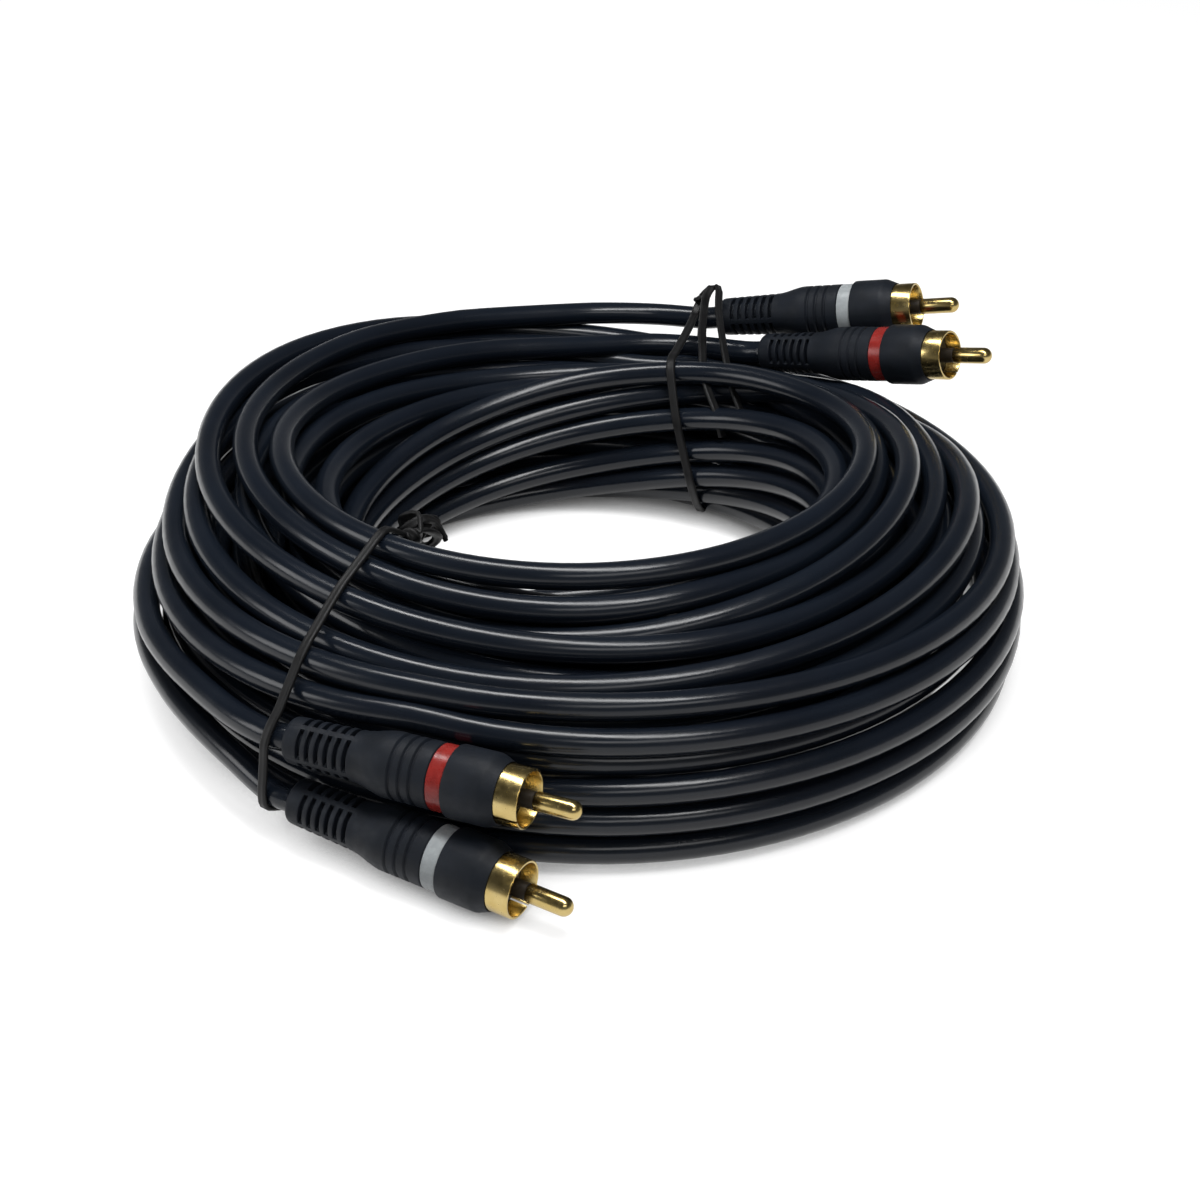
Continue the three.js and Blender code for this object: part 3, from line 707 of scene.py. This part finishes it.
def tie_angle(tie, radius, height):
    """Where round the coil the tie passes a place on the bundle's section."""
    outward = np.clip((radius - TIE_INNER) / (COIL_RADIUS - TIE_INNER), 0, 1) ** TIE_SWING
    rising = np.clip(height / WALL_TOP, 0, 1)
    inside = tie["foot"] + (tie["crown"] - tie["foot"]) * rising
    return inside + (tie["outer"] - inside) * outward


def convex_hull(points):
    ordered = sorted(map(tuple, points))

    def half(run):
        chain = []
        for point in run:
            while len(chain) > 1:
                (ax, ay), (bx, by) = chain[-2], chain[-1]
                if (bx - ax) * (point[1] - ay) - (by - ay) * (point[0] - ax) > 0:
                    break
                chain.pop()
            chain.append(point)
        return chain[:-1]

    return np.array(half(ordered) + half(ordered[::-1]))


def bound_circles(tie):
    """Radius and height of every cord where the tie passes it."""
    found = []
    for line in lines:
        radius = np.hypot(line[:, 0], line[:, 1])
        angle = np.degrees(np.arctan2(line[:, 1], line[:, 0]))
        off = np.abs((angle - tie_angle(tie, radius, line[:, 2]) + 180) % 360 - 180)
        near = off < TIE_REACH
        found.append(np.column_stack([radius[near], line[near, 2]]))
    return np.concatenate(found)


print("cord points near each tie", [len(bound_circles(tie)) for tie in TIES.values()])

# %% The line of a tie
TIE_GAP = 0.05
TIE_STATIONS = 48
TWIST_RADIUS, TWIST_STEPS = 0.75, 10


def tie_line(tie):
    """One wire's line, from tail to tail, and where its loop starts and ends."""
    centres = bound_circles(tie)
    size = CORD / 2 + TIE_THICK / 2 + TIE_GAP
    turn = np.radians(np.arange(0, 360, 15))
    rim = centres[:, None] + size * np.stack([np.cos(turn), np.sin(turn)], -1)
    hull = convex_hull(rim.reshape(-1, 2))
    hull[:, 1] = np.maximum(hull[:, 1], TIE_THICK / 2 + 0.1)
    closed = np.concatenate([hull, hull[:1]])
    run = np.concatenate([[0], np.cumsum(np.linalg.norm(np.diff(closed, axis=0), axis=1))])
    spaced = np.linspace(0, run[-1], TIE_STATIONS + 1)[:-1]
    outline = np.column_stack([np.interp(spaced, run, closed[:, 0]), np.interp(spaced, run, closed[:, 1])])
    first = int(np.argmin(np.linalg.norm(outline - np.array(tie["meet"]), axis=1)))
    opened = np.roll(outline, -first - 1, axis=0)[:-1]
    loop = polar(tie_angle(tie, opened[:, 0], opened[:, 1]), opened[:, 0], opened[:, 1])
    middle = (loop[0] + loop[-1]) / 2
    aim = np.array(tie["aim"]) / np.linalg.norm(tie["aim"])
    span = loop[-1] - loop[0]
    side = span - aim * (span @ aim)
    side /= np.linalg.norm(side)
    across = np.cross(aim, side)
    steps = np.arange(int(tie["turns"] * TWIST_STEPS) + 1)
    strands = []
    for phase in (math.pi, 0):
        turn = phase + steps * 2 * math.pi / TWIST_STEPS
        reach = TIE_WIDE + steps * tie["pitch"] / TWIST_STEPS
        strands.append(middle + reach[:, None] * aim + TWIST_RADIUS * (
            np.cos(turn)[:, None] * side + np.sin(turn)[:, None] * across))
    first_tail, second_tail = (np.array(tail, float) for tail in tie["tails"])
    before = len(first_tail) + len(strands[0])
    line = np.concatenate([first_tail[::-1], strands[0][::-1], loop, strands[1], second_tail])
    return line, before, before + len(loop) - 1


print("points on each tie", [len(tie_line(tie)[0]) for tie in TIES.values()])


# %% Wire ties
def swept(name, line, section, first, last):
    """A section carried along a line. It lies flat between first and last, and keeps its turn beyond."""
    steps = np.gradient(line, axis=0)
    steps /= np.linalg.norm(steps, axis=1)[:, None]
    middle = line[first:last].mean(0)
    flat = np.cross([0, 0, 1], middle)
    sides = np.tile(flat / np.linalg.norm(flat), (len(line), 1))
    order = [*range(first, len(line)), *range(first - 1, -1, -1)]
    for i in order:
        if i > last:
            sides[i] = sides[i - 1]
        elif i < first:
            sides[i] = sides[i + 1]
        sides[i] -= steps[i] * (sides[i] @ steps[i])
        sides[i] /= np.linalg.norm(sides[i])
    rings = [place + section[:, :1] * side + section[:, 1:] * np.cross(step, side)
             for place, step, side in zip(line, steps, sides)]
    count = len(section)
    vertices = (np.concatenate(rings) + RING_CENTRE) * MM
    faces = [(i * count + k, i * count + (k + 1) % count,
              (i + 1) * count + (k + 1) % count, (i + 1) * count + k)
             for i in range(len(line) - 1) for k in range(count)]
    faces.append(tuple(reversed(range(count))))
    faces.append(tuple((len(line) - 1) * count + k for k in range(count)))
    return add_mesh(name, vertices, faces, 50)


def dumb_bell():
    turn = np.radians(np.arange(-120, 121, 30))
    wire = TIE_THICK / 2
    offset = TIE_WIDE / 2 - wire
    right = np.column_stack([offset + wire * np.cos(turn), wire * np.sin(turn)])
    return np.concatenate([right, -right])


ties = {}
for name, tie in TIES.items():
    points, first, last = tie_line(tie)
    line = cubic(points, FINER)
    made = swept(f"{name}_wire", line, dumb_bell(), FINER * first, FINER * last)
    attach(made, "root")
    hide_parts(name)
    ties[name] = made
    print(made.name, "length in mm", round(np.linalg.norm(np.diff(line, axis=0), axis=1).sum()))

# %% [markdown]
# Now the cords go onto the one body. Each one stands for its leads in the CAD model, which are hidden.
# The coil's one solid stands for the turns of both cords, and it is hidden along with the red channel's
# cord.

# %% The cords on the body
for which, (front_name, back_name) in enumerate(OWN_LEADS):
    made = cords[which]
    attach(made, "root")
    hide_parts(f"{front_name}_lead", f"{back_name}_lead", *(["coil"] if which == 0 else []))
    on_it = []
    for name in (front_name, back_name):
        on_it += [bodies[name], *plug_parts[name].values(), f"{name}_cord_end"]
print("cords declared", len(cords))

# %% [markdown]
# Materials come next. Colours are picked as sRGB hex values, the way a paint chart or a colour picker
# gives them, and Blender works in linear light, so one function turns them. Another adds a node with
# its settings and links, and every material below is made with it. A plastic or a metal is never quite
# even, so each one gets a faint drift of its colour and its roughness from soft noise.

# %% Helpers for materials
def to_linear(hex_colour):
    channels = [int(hex_colour[i:i + 2], 16) / 255 for i in (1, 3, 5)]
    linear = [c / 12.92 if c <= 0.04045 else ((c + 0.055) / 1.055) ** 2.4 for c in channels]
    return (*linear, 1)


def add_node(tree, kind, inputs=None, **settings):
    node = tree.nodes.new(kind)
    for key, value in settings.items():
        setattr(node, key, value)
    for key, value in (inputs or {}).items():
        if isinstance(value, bpy.types.NodeSocket):
            tree.links.new(value, node.inputs[key])
        else:
            node.inputs[key].default_value = value
    return node


def new_material(name, **inputs):
    made = bpy.data.materials.new(name)
    made.use_nodes = True
    tree = made.node_tree
    tree.nodes.clear()
    shader = add_node(tree, "ShaderNodeBsdfPrincipled", {k.replace("_", " "): v for k, v in inputs.items()})
    out = add_node(tree, "ShaderNodeOutputMaterial")
    tree.links.new(shader.outputs["BSDF"], out.inputs["Surface"])
    return made, tree, shader


def mottled(tree, place, scale_mm, low, high):
    """A soft noise between two values, with spots about scale_mm across."""
    noise = add_node(tree, "ShaderNodeTexNoise", {
        "Vector": place, "Scale": 1 / (scale_mm * MM), "Detail": 2.0})
    spread = add_node(tree, "ShaderNodeMapRange", {
        "Value": noise.outputs["Fac"], "From Min": 0.3, "From Max": 0.7, "To Min": low, "To Max": high})
    return spread.outputs["Result"]


def patchy_skin(tree, shader, place, tint_mm, dark, light, rough_mm, smoother, rougher):
    """A colour and a roughness that each drift a little across the piece."""
    tint = mottled(tree, place, tint_mm, 0.0, 1.0)
    colour = add_node(tree, "ShaderNodeMix", {
        "Factor": tint, "A": to_linear(dark), "B": to_linear(light)}, data_type="RGBA")
    tree.links.new(colour.outputs["Result"], shader.inputs["Base Color"])
    rough = mottled(tree, place, rough_mm, smoother, rougher)
    tree.links.new(rough, shader.inputs["Roughness"])


print("white", [round(c, 3) for c in to_linear("#ffffff")])

# %% [markdown]
# The jacket is soft PVC, extruded: a dark navy plastic with a satin skin. Extruding leaves it smooth
# along its length, with only a faint waviness, so its long highlights stay clean but not mirror sharp.
# Handling gives it slightly duller patches.

# %% Extruded PVC jacket
def extruded_pvc():
    made, tree, shader = new_material("extruded_navy_pvc", IOR=1.47, Metallic=0.0, Specular_IOR_Level=0.4)
    place = add_node(tree, "ShaderNodeTexCoord").outputs["Object"]
    patchy_skin(tree, shader, place, 22, "#11161e", "#151b24", 9, 0.19, 0.26)
    wave = add_node(tree, "ShaderNodeTexNoise", {"Vector": place, "Scale": 1 / (3.5 * MM), "Detail": 1.0})
    bump = add_node(tree, "ShaderNodeBump", {"Height": wave.outputs["Fac"], "Strength": 0.08,
                                             "Distance": 0.25 * MM})
    tree.links.new(bump.outputs["Normal"], shader.inputs["Normal"])
    return made


jacket = extruded_pvc()
print("made", jacket.name)

# %% [markdown]
# The plug bodies are the same plastic, injection moulded in a spark-eroded tool, which leaves a fine
# matte grain. The grain is about 0.1 mm in life, which is too fine to show here, so it is drawn at
# 0.25 mm.

# %% Moulded PVC
def moulded_pvc():
    made, tree, shader = new_material("moulded_navy_pvc", IOR=1.45, Metallic=0.0, Specular_IOR_Level=0.25)
    place = add_node(tree, "ShaderNodeTexCoord").outputs["Object"]
    patchy_skin(tree, shader, place, 4, "#12161c", "#161b23", 1.6, 0.5, 0.62)
    grain = add_node(tree, "ShaderNodeTexNoise", {"Vector": place, "Scale": 1 / (0.25 * MM), "Detail": 2.0})
    bump = add_node(tree, "ShaderNodeBump", {"Height": grain.outputs["Fac"], "Strength": 0.35,
                                             "Distance": 0.05 * MM})
    tree.links.new(bump.outputs["Normal"], shader.inputs["Normal"])
    return made


mould = moulded_pvc()
print("made", mould.name)

# %% [markdown]
# The bands are glossy ABS, one deep red and one a cool white that looks grey beside the white table.

# %% Glossy ABS bands
def glossy_abs(name, dark, light):
    made, tree, shader = new_material(name, IOR=1.5, Metallic=0.0, Specular_IOR_Level=0.35)
    place = add_node(tree, "ShaderNodeTexCoord").outputs["Object"]
    patchy_skin(tree, shader, place, 1.5, dark, light, 1.2, 0.22, 0.32)
    return made


red_abs = glossy_abs("glossy_red_abs", "#82231f", "#932c27")
white_abs = glossy_abs("glossy_white_abs", "#989d9f", "#a3a8aa")
print("made", red_abs.name, white_abs.name)

# %% [markdown]
# Gold plate on turned brass is a bright metal with a warm colour of its own. The rings that the lathe
# leaves are too fine to show here, and the roughness stands in for the blur that they give.

# %% Gold plated brass
def gold_plate():
    made, tree, shader = new_material("gold_plated_brass", Metallic=1.0)
    place = add_node(tree, "ShaderNodeTexCoord").outputs["Object"]
    patchy_skin(tree, shader, place, 3, "#b79f62", "#c4af78", 1, 0.2, 0.28)
    return made


gold = gold_plate()
print("made", gold.name)

# %% [markdown]
# The insulating disc is moulded nylon, deep in the shell where it only shows as a dark floor. The wire
# ties are coated in black PVC, dull and slightly uneven where they were bent.

# %% Nylon disc and coated wire
def dull_plastic(name, dark, light, spot_mm, smoother, rougher):
    made, tree, shader = new_material(name, IOR=1.5, Metallic=0.0, Specular_IOR_Level=0.3)
    place = add_node(tree, "ShaderNodeTexCoord").outputs["Object"]
    patchy_skin(tree, shader, place, spot_mm, dark, light, spot_mm, smoother, rougher)
    return made


nylon = dull_plastic("moulded_dark_nylon", "#231e18", "#2e271f", 2.0, 0.45, 0.55)
coated_wire = dull_plastic("black_coated_wire", "#0b0b0c", "#121213", 2.5, 0.45, 0.6)
print("made", nylon.name, coated_wire.name)

# %% [markdown]
# Each piece gets the finish of its part. The stripped cord ends inside the boots come straight from the
# CAD model, and they take the jacket's finish.

# %% Finishes onto pieces
def paint(piece, material):
    piece.data.materials.clear()
    piece.data.materials.append(material)


for made in cords:
    paint(made, jacket)
for name in PLUGS:
    paint(bodies[name], mould)
    paint(plug_parts[name]["band"], red_abs if "red" in name else white_abs)
    paint(plug_parts[name]["shell"], gold)
    paint(plug_parts[name]["pin"], gold)
    paint(plug_parts[name]["insulator"], nylon)
    paint(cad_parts[f"{name}_cord_end"], jacket)
for made in ties.values():
    paint(made, coated_wire)
print("materials in use", len(bpy.data.materials))

# %% [markdown]
# The world stands in for a white studio. It is brighter at the horizon than overhead, so that the upright
# sides of the turns get a pale sheen and their tops stay dark, apart from what the lamps draw on them.

# %% World
HORIZON_FILL, TOP_FILL, FILL_HEIGHT = 0.32, 0.06, 0.45
world = bpy.data.worlds.new("studio")
bpy.context.scene.world = world
world.use_nodes = True
world_tree = world.node_tree
world_tree.nodes.clear()
direction = add_node(world_tree, "ShaderNodeTexCoord").outputs["Generated"]
upward = add_node(world_tree, "ShaderNodeSeparateXYZ", {"Vector": direction}).outputs["Z"]
strength = add_node(world_tree, "ShaderNodeMapRange", {
    "Value": upward, "From Min": 0.0, "From Max": FILL_HEIGHT, "To Min": HORIZON_FILL, "To Max": TOP_FILL})
fill = add_node(world_tree, "ShaderNodeBackground", {
    "Color": to_linear("#f2f4f7"), "Strength": strength.outputs["Result"]})
add_node(world_tree, "ShaderNodeOutputWorld", {"Surface": fill.outputs[0]})
print("world strength from", HORIZON_FILL, "to", TOP_FILL)

# %% [markdown]
# The table is a plain pale one. The camera and reflections see it lifted to white by a glow that only
# they see, so it throws no extra light on the cable. Ambient occlusion takes the glow away where the
# cable is near, which paints shade into the gaps under and between the cords and a soft painted shadow
# on the table round the cable.

# %% Floor
FLOOR_HALF = 4.0
FLOOR_LIFT = 0.85
PAINTED_SHADE_DISTANCE = 14
floor_mesh = bpy.data.meshes.new("floor")
corners = [(x * FLOOR_HALF, y * FLOOR_HALF, 0) for x, y in ((-1, -1), (1, -1), (1, 1), (-1, 1))]
floor_mesh.from_pydata(corners, [], [(0, 1, 2, 3)])
floor = bpy.data.objects.new("floor", floor_mesh)
bpy.context.scene.collection.objects.link(floor)
floor_material, floor_tree, floor_shader = new_material(
    "pale_table", Base_Color=to_linear("#959595"), Roughness=0.9, Emission_Color=to_linear("#ffffff"))
path = add_node(floor_tree, "ShaderNodeLightPath")
seen = path.outputs["Is Camera Ray"]
for ray in ("Is Glossy Ray", "Is Transmission Ray"):
    either = add_node(floor_tree, "ShaderNodeMath", {0: seen, 1: path.outputs[ray]}, operation="MAXIMUM")
    seen = either.outputs[0]
# Painted shade: the floor's glow fades where the cable lies within this distance, which darkens the gaps and
# paints a soft shadow round the cable.
painted_shade_occlusion = add_node(floor_tree, "ShaderNodeAmbientOcclusion", {"Distance": PAINTED_SHADE_DISTANCE * MM}, samples=8)
glow_with_painted_shade = add_node(floor_tree, "ShaderNodeMapRange", {
    "Value": painted_shade_occlusion.outputs["AO"], "From Min": 0.08, "From Max": 0.5, "To Min": 0.02, "To Max": FLOOR_LIFT})
lift = add_node(floor_tree, "ShaderNodeMath", {0: seen, 1: glow_with_painted_shade.outputs["Result"]}, operation="MULTIPLY")
floor_tree.links.new(lift.outputs[0], floor_shader.inputs["Emission Strength"])
floor_mesh.materials.append(floor_material)
print("floor in m", 2 * FLOOR_HALF)

# %% [markdown]
# The light is a product shot's. One long strip lamp straight above draws the narrow pale highlight along
# every turn, because a long lamp mirrors as a long line on a round cord. A soft panel on the left and a
# weaker one in front open the shadows.


# %% Lights
def area_light(name, place_mm, width_mm, height_mm, watts):
    data = bpy.data.lights.new(name, "AREA")
    data.shape = "RECTANGLE"
    data.size = width_mm * MM
    data.size_y = height_mm * MM
    data.energy = watts
    made = bpy.data.objects.new(name, data)
    bpy.context.scene.collection.objects.link(made)
    made.location = Vector(place_mm) * MM
    made.rotation_euler = (-made.location).to_track_quat("-Z", "Y").to_euler()
    return made


lights = [
    area_light("top_strip", (-20, -20, 560), 620, 110, 3.6),
    area_light("left_panel", (-620, -120, 260), 300, 260, 1.0),
    area_light("front_panel", (160, -560, 460), 420, 160, 0.7),
]
bpy.context.scene.view_settings.view_transform = "Standard"
print("lights", len(lights))

# %% [markdown]
# Last, the view layer is brought up to date.

# %% Update
bpy.context.view_layer.update()
